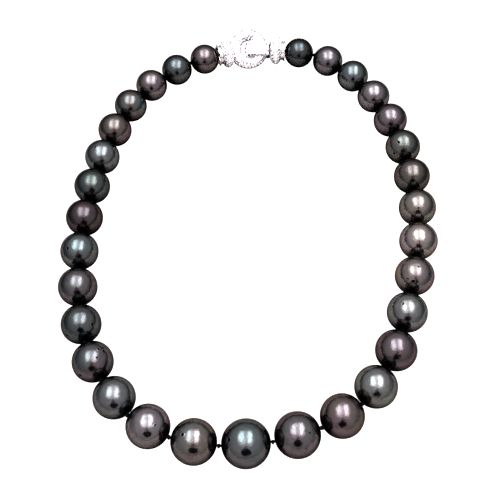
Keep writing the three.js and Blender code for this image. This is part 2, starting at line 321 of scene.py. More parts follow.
def camera_shape(name, outline, lean, place, material):
    """A shape near the camera, dimmer than the tent, turned up about X by lean degrees."""
    piece = flat_piece(name, outline)
    piece.data.transform(Matrix.Rotation(math.radians(lean), 4, "X"))
    piece.location = place
    piece.data.materials.append(material)
    only_reflected(piece)


def make_stage():
    """The table top, and the dim shapes round it that the pearls reflect."""
    make_tent_skirt()
    half = TABLE_HALF_WIDTH
    table = flat_piece("table_top", [(-half, -half), (half, -half), (half, half), (-half, half)])
    table.data.materials.append(table_material())
    oval = []
    for turn in even_turns(32):
        oval.append((STAND_HALF_WIDTH * math.cos(turn), STAND_HALF_HEIGHT * math.sin(turn)))
    black = plain_material("stand_black", (0.002, 0.002, 0.002), 0.9)
    camera_shape("camera_stand", oval, 90, STAND_PLACE, black)
    # The arm is black and glows a dim reddish brown: painted glow, since it is no lamp.
    brown = plain_material("arm_painted_glow", BLACK, 0.9, (0.75, 0.42, 0.45))
    camera_shape("camera_arm", ARM_OUTLINE, 102, ARM_PLACE, brown)


# -------------------- materials


def shader(name):
    """A new material's nodes, links and Principled shader."""
    material = bpy.data.materials.new(name)
    material.use_nodes = True
    tree = material.node_tree
    return material, tree, tree.nodes["Principled BSDF"]


def set_inputs(node, values):
    for name, value in values.items():
        node.inputs[name].default_value = value


def object_place(tree):
    """Where a point is in its object's own axes, in metres."""
    return tree.nodes.new("ShaderNodeTexCoord").outputs["Object"]


def camera_choice(tree, reflected, seen, output):
    """The camera sees one shader, and everything else is lit by the other."""
    path = tree.nodes.new("ShaderNodeLightPath")
    choice = tree.nodes.new("ShaderNodeMixShader")
    tree.links.new(path.outputs["Is Camera Ray"], choice.inputs[0])
    tree.links.new(reflected.outputs[0], choice.inputs[1])
    tree.links.new(seen.outputs[0], choice.inputs[2])
    tree.links.new(choice.outputs[0], output.inputs["Surface"])


def plain_material(name, colour, roughness, glow=(0, 0, 0)):
    material, _, surface = shader(name)
    set_inputs(surface, {"Base Color": (*colour, 1), "Roughness": roughness})
    set_inputs(surface, {"Emission Color": (*glow, 1), "Emission Strength": 1.0})
    return material


def table_material():
    """Pale and matt, with painted shadow darkening it near other surfaces, so the pearls reflect it shaded
    where they touch it; the camera sees it white.
    """
    material, tree, surface = shader("table_white")
    # Painted contact shadow: the colour darkens nearly to black where the pearls and other surfaces are
    # close.
    open_air = spread(tree, openness(tree, 16 * MM), 0.45, 1.0)
    shade = blended(tree, open_air, (0.01, 0.01, 0.01), (0.44, 0.39, 0.37))
    tree.links.new(shade, surface.inputs["Base Color"])
    set_inputs(surface, {"Roughness": 0.9, "Specular IOR Level": 0.0})
    white = tree.nodes.new("ShaderNodeEmission")
    set_inputs(white, {"Strength": 1.2})
    camera_choice(tree, surface, white, tree.nodes["Material Output"])
    return material


def openness(tree, distance):
    """1 in the open, falling to 0 where other surfaces are closer than the distance."""
    node = tree.nodes.new("ShaderNodeAmbientOcclusion")
    set_inputs(node, {"Distance": distance})
    node.samples = 8
    return node.outputs["AO"]


def noise_node(tree, coordinates, scale, detail=2.0, roughness=0.5):
    node = tree.nodes.new("ShaderNodeTexNoise")
    set_inputs(node, {"Scale": scale, "Detail": detail, "Roughness": roughness})
    tree.links.new(coordinates, node.inputs["Vector"])
    return node.outputs["Fac"]


def spread(tree, value, low, high, to_low=0.0, to_high=1.0, smooth=False):
    """Stretches a value from low..high to to_low..to_high."""
    node = tree.nodes.new("ShaderNodeMapRange")
    node.interpolation_type = "SMOOTHSTEP" if smooth else "LINEAR"
    for socket, number in zip(node.inputs[1:5], (low, high, to_low, to_high)):
        socket.default_value = number
    tree.links.new(value, node.inputs[0])
    return node.outputs[0]


def product(tree, first, second):
    node = tree.nodes.new("ShaderNodeMath")
    node.operation = "MULTIPLY"
    for socket, value in zip(node.inputs, (first, second)):
        if isinstance(value, (int, float)):
            socket.default_value = value
        else:
            tree.links.new(value, socket)
    return node.outputs[0]


def blended(tree, factor, first, second):
    node = tree.nodes.new("ShaderNodeMix")
    node.data_type = "RGBA"
    tree.links.new(factor, node.inputs[0])
    for socket, value in ((node.inputs[6], first), (node.inputs[7], second)):
        if isinstance(value, tuple):
            socket.default_value = (*value, 1)
        else:
            tree.links.new(value, socket)
    return node.outputs[2]


def bumped(tree, surface, height, strength, distance):
    node = tree.nodes.new("ShaderNodeBump")
    set_inputs(node, {"Strength": strength, "Distance": distance})
    tree.links.new(height, node.inputs["Height"])
    tree.links.new(node.outputs[0], surface.inputs["Normal"])


BLACK = (0.0, 0.0, 0.0)
PIT_LAYER = "pit"  # how deep in a pit each point of a pearl's mesh is
# Nacre: the record's slot, the body's tint and the overtone that drifts over it
TONES = {
    "green": ("nacre_green", (0.94, 1.03, 0.94)),
    "teal": ("nacre_teal", (0.85, 1.0, 1.03)),
    "aubergine": ("nacre_aubergine", (1.12, 0.89, 0.97)),
    "silver": ("nacre_silver", (1.00, 1.00, 1.02)),
    "brown": ("nacre_brown", (1.12, 0.98, 0.90)),
    "mauve": ("nacre_mauve", (1.08, 0.93, 1.00)),
}
# Each pearl from the left of the clasp round to its right: body, overtone and reflectance
PEARL_TONES = [
    ("aubergine", "brown", 0.09),
    ("teal", "silver", 0.07),
    ("brown", "mauve", 0.10),
    ("teal", "brown", 0.08),
    ("aubergine", "brown", 0.08),
    ("teal", "silver", 0.10),
    ("teal", "green", 0.06),
    ("aubergine", "mauve", 0.05),
    ("teal", "silver", 0.09),
    ("mauve", "silver", 0.08),
    ("teal", "silver", 0.07),
    ("teal", "mauve", 0.08),
    ("teal", "silver", 0.10),
    ("mauve", "silver", 0.12),
    ("brown", "silver", 0.10),
    ("teal", "silver", 0.09),
    ("mauve", "silver", 0.09),
    ("aubergine", "brown", 0.09),
    ("green", "silver", 0.12),
    ("aubergine", "mauve", 0.08),
    ("green", "silver", 0.12),
    ("brown", "mauve", 0.12),
    ("mauve", "brown", 0.16),
    ("green", "brown", 0.12),
    ("brown", "silver", 0.07),
    ("green", "brown", 0.08),
    ("mauve", "aubergine", 0.09),
    ("mauve", "silver", 0.11),
    ("teal", "silver", 0.09),
    ("mauve", "silver", 0.10),
    ("silver", "teal", 0.05),
]


def nacre(pearl, body, overtone, reflectance):
    """Dark nacre: a dim mirror-like skin whose tint drifts over the pearl, with painted shade in its pits.
    """
    material, tree, surface = shader(f"nacre_{pearl.number:02d}")
    shift = tree.nodes.new("ShaderNodeMapping")
    size = 1 / (pearl.radius * MM)
    offset = (pearl.number * 1.7, pearl.number * 0.9, 0)
    set_inputs(shift, {"Location": offset, "Scale": (size, size, size)})
    tree.links.new(object_place(tree), shift.inputs["Vector"])
    where = shift.outputs["Vector"]
    drift = spread(tree, noise_node(tree, where, 0.9), 0.35, 0.65)
    ends = [tuple(reflectance * part for part in TONES[tone][1]) for tone in (body, overtone)]
    tint = blended(tree, drift, *ends)
    cloud = spread(tree, noise_node(tree, where, 3.2, 5.0, 0.6), 0.3, 0.7, 0.0, 0.26)
    clouded = blended(tree, cloud, tint, BLACK)
    # Painted shade in the pits: the colour goes towards black the deeper a point lies in a pit.
    pit = tree.nodes.new("ShaderNodeAttribute")
    pit.attribute_name = PIT_LAYER
    sunk = spread(tree, pit.outputs["Fac"], 0.0, 0.5)
    tree.links.new(blended(tree, sunk, clouded, BLACK), surface.inputs["Base Color"])
    set_inputs(surface, {"Metallic": 1.0, "Roughness": 0.13, "Specular Tint": (0.45, 0.42, 0.4, 1)})
    ripple = noise_node(tree, where, 6.0, 3.0, 0.55)
    bumped(tree, surface, ripple, 0.2, 0.4 * MM)
    return material


def black_silk():
    """Waxed black silk; its fibres run as fine lines, a little lighter where the wax has rubbed."""
    material, tree, surface = shader("black_silk")
    fibre = noise_node(tree, object_place(tree), 9000.0, 3.0)
    wear_and_crevice_shade = spread(tree, fibre, 0.4, 0.8)
    shade = blended(tree, wear_and_crevice_shade, (0.002, 0.0018, 0.0018), (0.008, 0.0072, 0.0072))
    tree.links.new(shade, surface.inputs["Base Color"])
    set_inputs(surface, {"Roughness": 0.75, "Specular IOR Level": 0.03})
    bumped(tree, surface, fibre, 0.4, 0.05 * MM)
    return material


def white_gold():
    """Rhodium-bright white gold, faintly cloudy from hand polishing, with painted shade darkening it in
    its crevices.
    """
    material, tree, surface = shader("white_gold")
    place = object_place(tree)
    cloud = noise_node(tree, place, 900.0, 4.0)
    tint = blended(tree, spread(tree, cloud, 0.3, 0.7), (0.66, 0.63, 0.64), (0.86, 0.83, 0.84))
    # Painted shade: the colour darkens nearly to black where other surfaces are close, in crevices and the
    # gaps between parts.
    open_air = spread(tree, openness(tree, 1.6 * MM), 0.2, 0.75, smooth=True)
    wear_and_crevice_shade = blended(tree, open_air, (0.05, 0.04, 0.05), tint)
    tree.links.new(wear_and_crevice_shade, surface.inputs["Base Color"])
    sheen = spread(tree, cloud, 0.3, 0.7, 0.084, 0.156)
    tree.links.new(sheen, surface.inputs["Roughness"])
    set_inputs(surface, {"Metallic": 1.0})
    bumped(tree, surface, noise_node(tree, place, 2600.0), 0.05, 0.05 * MM)
    return material


def brilliant():
    """Bright colourless stones; each one's facets take a slightly different grey."""
    material, tree, surface = shader("brilliant")
    cell = tree.nodes.new("ShaderNodeTexVoronoi")
    set_inputs(cell, {"Scale": 1600.0})
    tree.links.new(object_place(tree), cell.inputs["Vector"])
    split = tree.nodes.new("ShaderNodeSeparateColor")
    tree.links.new(cell.outputs["Color"], split.inputs[0])
    bright = spread(tree, split.outputs[0], 0.1, 0.35)
    tint = blended(tree, bright, (0.3, 0.26, 0.36), (0.95, 0.95, 0.97))
    tree.links.new(tint, surface.inputs["Base Color"])
    set_inputs(surface, {"Metallic": 0.9, "Roughness": 0.04, "IOR": 2.4})
    return material


# -------------------- mesh building


class Build:
    """Gathers shapes into one mesh. Shapes come in millimetres and can be placed by a matrix."""

    def __init__(self):
        self.points = []
        self.faces = []

    def add(self, points, faces, matrix=None):
        first = len(self.points)
        for point in points:
            self.points.append(matrix @ Vector(point) if matrix else Vector(point))
        for face in faces:
            self.faces.append([first + corner for corner in face])

    def piece(self, name, place, material, body=None, smooth=True, slot=None, replaces=()):
        made = mesh_piece(name, [place @ point for point in self.points], self.faces)
        made.data.materials.append(material)
        if smooth:
            made.data.shade_smooth()
        else:
            made.data.shade_flat()
        if replaces:
            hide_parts(*replaces)
        if body:
            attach(made, body)
        return made


def grid_faces(rows, columns, close_rows=False, close_columns=True):
    """Quads between rows of points, each row holding the same number of columns."""
    faces = []
    for row in range(rows if close_rows else rows - 1):
        below = (row + 1) % rows
        for column in range(columns if close_columns else columns - 1):
            beside = (column + 1) % columns
            corners = [(row, column), (row, beside), (below, beside), (below, column)]
            faces.append([line * columns + place for line, place in corners])
    return faces


def end_faces(count, sides):
    """The faces that close the first and last row of points."""
    return [list(range(sides))[::-1], list(range(count - sides, count))]


def turned(profile, segments, closed=False, ripple=None):
    """A solid turned about X from [along, radius] points; ripple bends it in and out round the axis."""
    points = []
    for along, radius in profile:
        for angle in even_turns(segments):
            shift, swell = ripple(along, angle) if ripple else (0, 0)
            out = radius + swell
            points.append((along + shift, out * math.cos(angle), out * math.sin(angle)))
    faces = [face[::-1] for face in grid_faces(len(profile), segments, close_rows=closed)]
    return points, faces if closed else faces + end_faces(len(points), segments)


def swept(path, section, closed=False, twist=0.0):
    """A cord along a path of Vectors. The section lists its radius at even steps round it."""
    sides = len(section)
    count = len(path)
    points = []
    normal = None
    travelled = 0.0
    for index, place in enumerate(path):
        ahead = path[(index + 1) % count] if closed or index < count - 1 else place
        behind = path[index - 1] if closed or index > 0 else place
        along = (ahead - behind).normalized()
        if normal is None:
            normal = along.orthogonal().normalized()
        else:
            travelled += (place - path[index - 1]).length
            normal = (normal - along * normal.dot(along)).normalized()
        side = along.cross(normal)
        for even_turn, radius in zip(even_turns(sides), section):
            turn = even_turn + twist * travelled
            points.append(place + radius * (math.cos(turn) * normal + math.sin(turn) * side))
    faces = grid_faces(count, sides, close_rows=closed)
    return points, faces if closed else faces + end_faces(len(points), sides)


def smooth_path(stops, steps):
    """A Catmull-Rom curve through the stops, with the same number of steps between each two."""
    ends = [2 * stops[0] - stops[1], *stops, 2 * stops[-1] - stops[-2]]
    path = []
    for index in range(1, len(ends) - 2):
        a, b, c, d = ends[index - 1 : index + 3]
        for step in range(steps):
            t = step / steps
            squared = (2 * a - 5 * b + 4 * c - d) * t * t
            cubed = (3 * b - a - 3 * c + d) * t * t * t
            path.append(0.5 * (2 * b + (c - a) * t + squared + cubed))
    path.append(stops[-1].copy())
    return path


# -------------------- pearls

ALONG_STEPS = 56
ROUND_STEPS = 96
UNEVENNESS = 0.0045
RIPPLE = 0.0011
UNDERSIZE = 0.002  # keeps the skins of two touching pearls apart
PIT_DEPTH = 0.45
PIT_LIP = 0.07
# Pits in the nacre by pearl number, as the camera sees them: how far right and up of the pearl's
# centre, in pearl radii, and the pit's radius in mm
PITS = {
    2: [(0.11, -0.71, 0.3)],
    6: [(-0.39, 0.57, 0.45), (0.56, -0.49, 0.35), (0.82, -0.46, 0.35)],
    8: [(-0.4, 0.71, 0.35), (0.59, 0.45, 0.35)],
    9: [(-0.61, 0.15, 0.5), (-0.48, 0.64, 0.35)],
    11: [(0.54, -0.02, 0.5), (-0.64, -0.56, 0.45)],
    12: [(0.51, 0.48, 0.5), (0.2, 0.19, 0.4), (0.26, 0.58, 0.4), (-0.56, -0.63, 0.45)],
    14: [(0.31, 0.04, 0.35)],
    15: [(-0.48, 0.29, 0.55)],
    16: [(-0.67, 0.14, 0.55), (0.8, -0.54, 0.45)],
    17: [(0.52, 0.08, 0.35)],
    20: [(0.16, -0.26, 0.4), (0.47, 0.67, 0.4)],
    21: [(-0.2, 0.4, 0.4)],
    22: [(0.2, 0.45, 0.4), (-0.07, -0.29, 0.6), (-0.33, -0.15, 0.35), (0.73, 0.09, 0.4)],
    24: [(0.06, -0.03, 0.4)],
    26: [(-0.25, 0.26, 0.55), (0.54, 0.69, 0.45), (-0.48, -0.36, 0.5), (0.18, -0.15, 0.35)],
    28: [(0.56, 0.68, 0.4)],
}


def pit_directions(pearl):
    """The pits in view, and a few small ones anywhere, as directions from the pearl's centre."""
    toward = (CAMERA_PLACE - pearl.centre).normalized()
    right = (Vector((1, 0, 0)) - toward.x * toward).normalized()
    above = toward.cross(right)
    found = []
    for across, upward, radius in PITS.get(pearl.number, []):
        depth = math.sqrt(1 - across * across - upward * upward)
        found.append((across * right + upward * above + depth * toward, radius))
    chance = random.Random(pearl.number)
    for _ in range(chance.randrange(4)):
        turn, sine = chance.uniform(0, math.tau), chance.uniform(-0.9, 0.6)
        flat = math.sqrt(1 - sine * sine)
        direction = Vector((flat * math.cos(turn), flat * math.sin(turn), sine))
        if abs(direction.dot(pearl.axis)) < 0.8:
            found.append((direction, chance.uniform(0.16, 0.3)))
    return found


def pearl_skin(pearl, pits):
    """Gives, for a direction, how far the nacre reaches in mm and how deep in a pit that is, 0 to 1."""
    seed = Vector((pearl.number * 3.1, 7.7, 1.3))

    def reach(direction):
        uneven = UNEVENNESS * noise.noise(direction * 1.2 + seed)
        uneven += RIPPLE * noise.noise(direction * 4.5 + seed)
        height = pearl.radius * (1 + uneven - UNDERSIZE)
        sunk = 0.0
        for centre, radius in pits:
            away = (direction - centre).length * pearl.radius / radius
            if away < 1.8:
                hollow = max(0.0, 1 - away * away)
                sunk = max(sunk, hollow)
                height -= PIT_DEPTH * radius * hollow**2
                height += PIT_LIP * radius * math.exp(-(((away - 1.1) / 0.3) ** 2))
        return height, sunk

    return reach


def make_pearl(pearl, material):
    """A drilled pearl: rows of points round the thread's way, finer at the pits, and its hole."""
    side = UP.cross(pearl.axis)
    rim = math.asin(DRILL_RADIUS / pearl.radius)
    bore = DRILL_RADIUS - 0.08
    steps = [rim + (math.pi - 2 * rim) * step / ALONG_STEPS for step in range(ALONG_STEPS + 1)]
    bm = bmesh.new()
    rows = []

    def add_row(along, out):
        row = []
        for turn in even_turns(ROUND_STEPS):
            place = along * pearl.axis + out * (math.cos(turn) * side + math.sin(turn) * UP)
            row.append(bm.verts.new(place))
        rows.append(row)

    for angle in steps:
        add_row(pearl.radius * math.cos(angle), pearl.radius * math.sin(angle))
    end = pearl.radius * math.cos(rim)
    add_row(-end + 0.02, bore)
    add_row(-end + 0.2, bore - 0.04)
    add_row(end - 0.2, bore - 0.04)
    add_row(end - 0.02, bore)
    for index, row in enumerate(rows):
        following = rows[(index + 1) % len(rows)]
        for step in range(ROUND_STEPS):
            beside = (step + 1) % ROUND_STEPS
            bm.faces.new((row[step], row[beside], following[beside], following[step]))
    pits = pit_directions(pearl)
    for centre, radius in pits:
        edges = []
        for edge in bm.edges:
            middle = sum((vert.co for vert in edge.verts), Vector()) / 2
            if (middle - centre * pearl.radius).length < 2.2 * radius:
                edges.append(edge)
        bmesh.ops.subdivide_edges(bm, edges=edges, cuts=3, use_grid_fill=True)
    inner = DRILL_RADIUS - 0.01
    skin_reach = pearl_skin(pearl, pits)
    pit_layer = bm.verts.layers.float.new(PIT_LAYER)
    for vert in bm.verts:
        along = vert.co.dot(pearl.axis)
        if (vert.co - along * pearl.axis).length > inner:
            direction = vert.co.normalized()
            height, vert[pit_layer] = skin_reach(direction)
            vert.co = direction * height
    bmesh.ops.recalc_face_normals(bm, faces=bm.faces)
    for face in bm.faces:
        face.smooth = True
    bm.transform(Matrix.Translation(pearl.centre) @ Matrix.Scale(MM, 4))
    mesh = bpy.data.meshes.new(f"nacre_{pearl.body}")
    bm.to_mesh(mesh)
    bm.free()
    mesh.materials.append(material)
    piece = new_object(f"nacre_{pearl.body}", mesh)
    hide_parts(pearl.body)
    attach(piece, pearl.body)
    return piece


def make_pearls():
    for pearl, (body, overtone, reflectance) in zip(PEARLS, PEARL_TONES):
        piece = make_pearl(pearl, nacre(pearl, body, overtone, reflectance))


# -------------------- silk

PLIES = 3
CORD_RADIUS = 0.42
CORD_SIDES = 24
CORD = [
    CORD_RADIUS * (0.85 + 0.15 * math.cos(PLIES * math.tau * side / CORD_SIDES))
    for side in range(CORD_SIDES)
]
CORD_TWIST = 2.6  # radians for each millimetre of thread
KNOT_SCALE = 0.17
KNOT_STRAND = [0.26] * 8


def thread_run(before, knot, after):
    """Points along the thread, closest together at the knot, where it bends."""
    steps = 20
    incoming = [knot + (before - knot) * (1 - step / steps) ** 2 for step in range(steps)]
    outgoing = [knot + (after - knot) * (step / steps) ** 2 for step in range(steps + 1)]
    return incoming + outgoing


def tight_knot(place, along, turn):
    """The middle line of a small tight knot, three-lobed seen along the thread."""
    side = UP.cross(along).normalized()
    rise = along.cross(side)
    path = []
    for t in even_turns(60):
        across = math.sin(t + turn) + 2 * math.sin(2 * t + turn)
        upward = math.cos(t + turn) - 2 * math.cos(2 * t + turn)
        path.append(place + KNOT_SCALE * (across * side + upward * rise - math.sin(3 * t) * along))
    return path


def thread_loop(bar, along):
    """A closed loop of thread round the bar in a cap, level with the table."""
    side = UP.cross(along)
    path = []
    for turn in even_turns(32):
        path.append(bar + THREAD_LOOP_RADIUS * (math.cos(turn) * along + math.sin(turn) * side))
    return path


def make_silk(material):
    """Each knot, with the thread either side of it, is a piece of its own; the one where the loop opens
    goes with the pearl after it.
    """
    centre = RING_CENTRE / MM
    bars = {
        0: (centre + (LEFT_WIDEST + THREAD_LOOP_AT) * LEFT_X, LEFT_X),
        LAST_KNOT: (centre + (RIGHT_WIDEST + THREAD_LOOP_AT) * RIGHT_X, RIGHT_X),
    }
    chance = random.Random(5)
    for index, place in enumerate(KNOTS):
        knot = place / MM
        before = PEARLS[index - 1].centre / MM if index > 0 else bars[0][0]
        after = PEARLS[index].centre / MM if index < LAST_KNOT else bars[LAST_KNOT][0]
        along = (after - before).normalized()
        build = Build()
        if index in bars:
            bar, outward = bars[index]
            build.add(*swept(thread_loop(bar, outward), CORD, closed=True, twist=CORD_TWIST))
            before = bar + THREAD_LOOP_RADIUS * outward if index == 0 else before
            after = bar + THREAD_LOOP_RADIUS * outward if index == LAST_KNOT else after
        else:
            path = tight_knot(knot, along, chance.uniform(0, math.tau))
            build.add(*swept(path, KNOT_STRAND, closed=True))
        if index == OPENED_KNOT:
            before = knot - 2 * along
        build.add(*swept(thread_run(before, knot, after), CORD, twist=CORD_TWIST))
        piece = build.piece(
            f"silk_knot_{index:02d}",
            Matrix.Scale(MM, 4),
            material,
            body=f"pearl_{index + 1:02d}" if index == OPENED_KNOT else None,
            slot="silk",
            replaces=["silk_thread"],
        )
        if index != OPENED_KNOT:
            joint = JOINTS[f"knot_{index:02d}"]
            bodies = [joint["parent"], joint["child"]]
            if index > OPENED_KNOT:
                bodies.reverse()
            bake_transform(piece)


# -------------------- clasp: metal


def strap(stops, corner=0.18):
    """A strap bent in X and Z, with rounded edges and ends. Stops are (x, z, thickness, half width)."""
    rows = []

    def add_row(centre, thickness, half_width, shrink):
        row = []
        for quarter, (across, upward) in enumerate([(1, 1), (-1, 1), (-1, -1), (1, -1)]):
            for step in range(5):
                turn = math.radians(90 * quarter + 22.5 * step)
                y = across * (half_width - corner) + (corner - shrink) * math.cos(turn)
                rise = upward * (thickness / 2 - corner) + (corner - shrink) * math.sin(turn)
                row.append(centre + Vector((0, y, 0)) + rise * normal)
        rows.append(row)

    for index, (x, z, thickness, half_width) in enumerate(stops):
        behind, ahead = stops[max(index - 1, 0)], stops[min(index + 1, len(stops) - 1)]
        tangent = Vector((ahead[0] - behind[0], 0, ahead[1] - behind[1])).normalized()
        normal = Vector((-tangent.z, 0, tangent.x))
        centre = Vector((x, 0, z))
        ends = {0: -1, len(stops) - 1: 1}
        turns = [0]
        if index in ends:
            turns = [90, 60, 30, 0] if index == 0 else [0, 30, 60, 90]
        for degrees in turns:
            swell = corner * math.sin(math.radians(degrees)) * ends.get(index, 0)
            shrink = corner * (1 - math.cos(math.radians(degrees)))
            add_row(centre + swell * tangent, thickness, half_width, 0.98 * shrink)
    sides = len(rows[0])
    faces = grid_faces(len(rows), sides) + end_faces(len(rows) * sides, sides)
    return [point for row in rows for point in row], faces


def barrel(start, end, inner, outer):
    """A hinge knuckle along X with eased edges and a bore."""
    ease = 0.06
    profile = [(start, inner), (start, outer - ease), (start + ease, outer)]
    profile += [(end - ease, outer), (end, outer - ease), (end, inner)]
    return turned(profile, 48, closed=True)


def pin(length, radius, head):
    """A pin along X with a domed head at each end."""
    half = length / 2
    profile = [(-half - 0.14, 0.06), (-half - 0.1, 0.7 * head), (-half - 0.02, head)]
    profile += [(-half + 0.02, head), (-half + 0.03, radius)]
    return turned(profile + [(-along, out) for along, out in reversed(profile)], 32)


def torus_point(spin, tilt, tube):
    """A point of the ring and the way it faces: spin goes round the ring, tilt round its tube."""
    outward = Vector((math.cos(spin), math.sin(spin), 0))
    facing = math.cos(tilt) * outward + Vector((0, 0, math.sin(tilt)))
    return RING_RADIUS * outward + tube * facing, facing


def ring_torus(tube):
    """The ring's tube, closed on itself."""
    around, across = 120, 48
    points = []
    for spin in even_turns(around):
        points += [torus_point(spin, tilt, tube)[0] for tilt in even_turns(across)]
    return points, grid_faces(around, across, close_rows=True)


BELL_FRONT, BELL_BACK = math.radians(44), math.radians(-48)


def bell_point(widest, angle, turn, inset=0.0):
    """A point of a cap's swelling side and the direction it faces."""
    swell = BELL_SWELL_BACK if angle < 0 else BELL_SWELL_FRONT
    along = widest + (swell - inset) * math.sin(angle)
    out = (BELL_RADIUS - inset) * math.cos(angle)
    slope = Vector((math.sin(angle) * BELL_RADIUS, math.cos(angle) * swell)).normalized()
    round_way = Vector((0, math.cos(turn), math.sin(turn)))
    facing = Vector((slope.x, 0, 0)) + slope.y * round_way
    return Vector((along, 0, 0)) + out * round_way, facing


def bell(widest, inset=0.06):
    """A thick cap with a socket that opens towards the pearl."""
    back, floor = widest - BELL_FLAT_BACK, widest - 1.4
    profile = [(back, 0.3), (back, 3.3)]
    for step in range(25):
        angle = BELL_BACK + (BELL_FRONT - BELL_BACK) * step / 24
        place, _ = bell_point(widest, angle, 0, inset)
        profile.append((place.x, place.y))
    mouth = profile[-1][0]
    profile += [(mouth + 0.05, 3.55), (mouth, SOCKET_RADIUS + 0.1), (mouth - 0.1, SOCKET_RADIUS)]
    profile += [(widest - 1.3, SOCKET_RADIUS), (floor, SOCKET_RADIUS - 0.1), (floor, 0.3)]
    return turned(profile, 96)


PETALS = 12


def cap_cup(widest):
    """The thin flared cup whose scalloped edge holds the end pearl."""
    outline = [(1.8, 3.12), (1.8, 3.6), (2.3, 3.56), (2.6, 3.6), (2.95, 3.8), (3.25, 4.08)]
    outline += [(3.38, 4.12), (3.42, 4.0), (3.36, 3.86), (3.05, 3.5), (2.75, 3.22), (2.4, 3.12)]

    def petals(along, angle):
        reach = max(0.0, along - widest - 2.4)
        wave = abs(math.cos(PETALS / 2 * angle))
        return 0.28 * reach * (wave - 1), 0.16 * reach * (wave - 0.6)

    return turned([(widest + along, out) for along, out in outline], 144, closed=True, ripple=petals)


def bullion(widest):
    """The coil of fine wire round the end of the thread."""
    start, end, turns = 1.42, 2.62, 5
    path = []
    for step in range(24 * turns + 1):
        turn = math.tau * step / 24
        along = widest + start + (end - start) * step / (24 * turns)
        path.append(Vector((along, 0.575 * math.cos(turn), 0.575 * math.sin(turn))))
    return swept(path, [0.12] * 8)


def make_cap(side, body, place, widest, gold):
    for name, shape, node in [
        ("bell", bell(widest), "bell_cap"),
        ("cup", cap_cup(widest), "cap_rim"),
        ("coil", bullion(widest), "bullion_coil"),
    ]:
        build = Build()
        build.add(*shape)
        build.piece(f"{side}_{name}", place, gold, body, replaces=[f"{side}_{node}"])
    build = Build()
    across = Matrix.Translation((widest + THREAD_LOOP_AT, 0, 0)) @ Matrix.Rotation(math.pi / 2, 4, "Y")
    build.add(*turned([(-2.75, 0.3), (-2.7, 0.45), (2.7, 0.45), (2.75, 0.3)], 32), across)
    build.piece(f"{side}_bar", place, gold, body, replaces=[f"{side}_thread_bar"])


# Middle lines of the hook's straps, in the hook's axes: x, z and thickness
HOOK_LEG = [(8.275, 1.9, 0.65), (8.275, 0.4, 0.65), (8.275, -2.7, 0.65), (8.12, -3.45, 0.7)]
HOOK_LEG += [(7.5, -3.78, 0.78), (6.6, -3.8, 0.8), (1.6, -3.8, 0.8), (0.7, -3.62, 0.8)]
HOOK_LEG += [(0.08, -3.05, 0.78), (-0.2, -2.3, 0.72), (-0.25, -1.45, 0.66)]
HINGE_WEB = [(8.27, 1.5, 0.65), (8.25, 2.2, 0.65), (8.0, 2.8, 0.6), (7.7, 2.95, 0.5)]
TONGUE_LINE = [(6.6, 2.86, 0.86), (5.6, 3.12, 1.0), (4.4, 3.28, 1.04), (3.2, 3.28, 1.0)]
TONGUE_LINE += [(2.1, 3.12, 1.0), (1.0, 2.72, 1.08), (0.2, 2.15, 1.15), (-0.35, 1.4, 1.15)]
TONGUE_LINE += [(-0.68, 0.5, 1.12), (-0.8, -0.3, 1.0), (-0.8, -0.95, 0.86)]
TONGUE_WEB = [(6.0, 2.98, 0.75), (6.6, 2.86, 0.75), (7.2, 2.9, 0.6)]
TONGUE_TIP_CENTRE = 1.3


def tongue_half_width(x):
    """Half the strap's width: straight, then half an ellipse seen from the front."""
    reach = min(1.0, max(0.0, TONGUE_TIP_CENTRE - x) / (HOOK_WIDTH / 2))
    return max(1.2, HOOK_WIDTH / 2 * math.sqrt(1 - reach * reach))


def strap_line(stops, half_width):
    """The strap's stops, smoothly joined, with the half width found from x."""
    line = smooth_path([Vector(stop) for stop in stops], 6)
    return [(x, z, thickness, half_width(x)) for x, z, thickness in line]


def make_hook(gold):
    across = Matrix.Translation((HINGE[0], 0, HINGE[1])) @ Matrix.Rotation(math.pi / 2, 4, "Z")
    half = HOOK_WIDTH / 2
    inner = KNUCKLE_HALF_WIDTH + RUNNING_GAP
    bore = PIN_RADIUS + RUNNING_GAP
    hook = Build()
    hook.add(*strap(strap_line(HOOK_LEG, lambda x: half)))
    for side in (-1, 1):
        web = strap(strap_line(HINGE_WEB, lambda x: (half - inner) / 2))
        hook.add(*web, Matrix.Translation((0, side * (half + inner) / 2, 0)))
        start, end = sorted((side * inner, side * half))
        hook.add(*barrel(start, end, bore, BARREL_RADIUS), across)
    hook.piece("hook_metal", HOOK, gold, "hook_half", replaces=["hook_body"])
    rivet = Build()
    rivet.add(*pin(HOOK_WIDTH + 0.06, PIN_RADIUS, 0.52), across)
    rivet.piece("hinge_rivet", HOOK, gold, "hook_half", replaces=["hinge_pin"])
    tongue = Build()
    tongue.add(*strap(strap_line(TONGUE_LINE, tongue_half_width)))
    tongue.add(*strap(strap_line(TONGUE_WEB, lambda x: KNUCKLE_HALF_WIDTH)))
    tongue.add(*barrel(-KNUCKLE_HALF_WIDTH, KNUCKLE_HALF_WIDTH, bore, BARREL_RADIUS), across)
    tongue.piece("tongue_metal", HOOK, gold, "tongue", replaces=["tongue"])


# -------------------- clasp: stones and beads

STONE_RADIUS = 0.6
STONE_PITCH = 1.36
BEAD_RADIUS = 0.16
BORDER_BEAD_RADIUS = 0.15


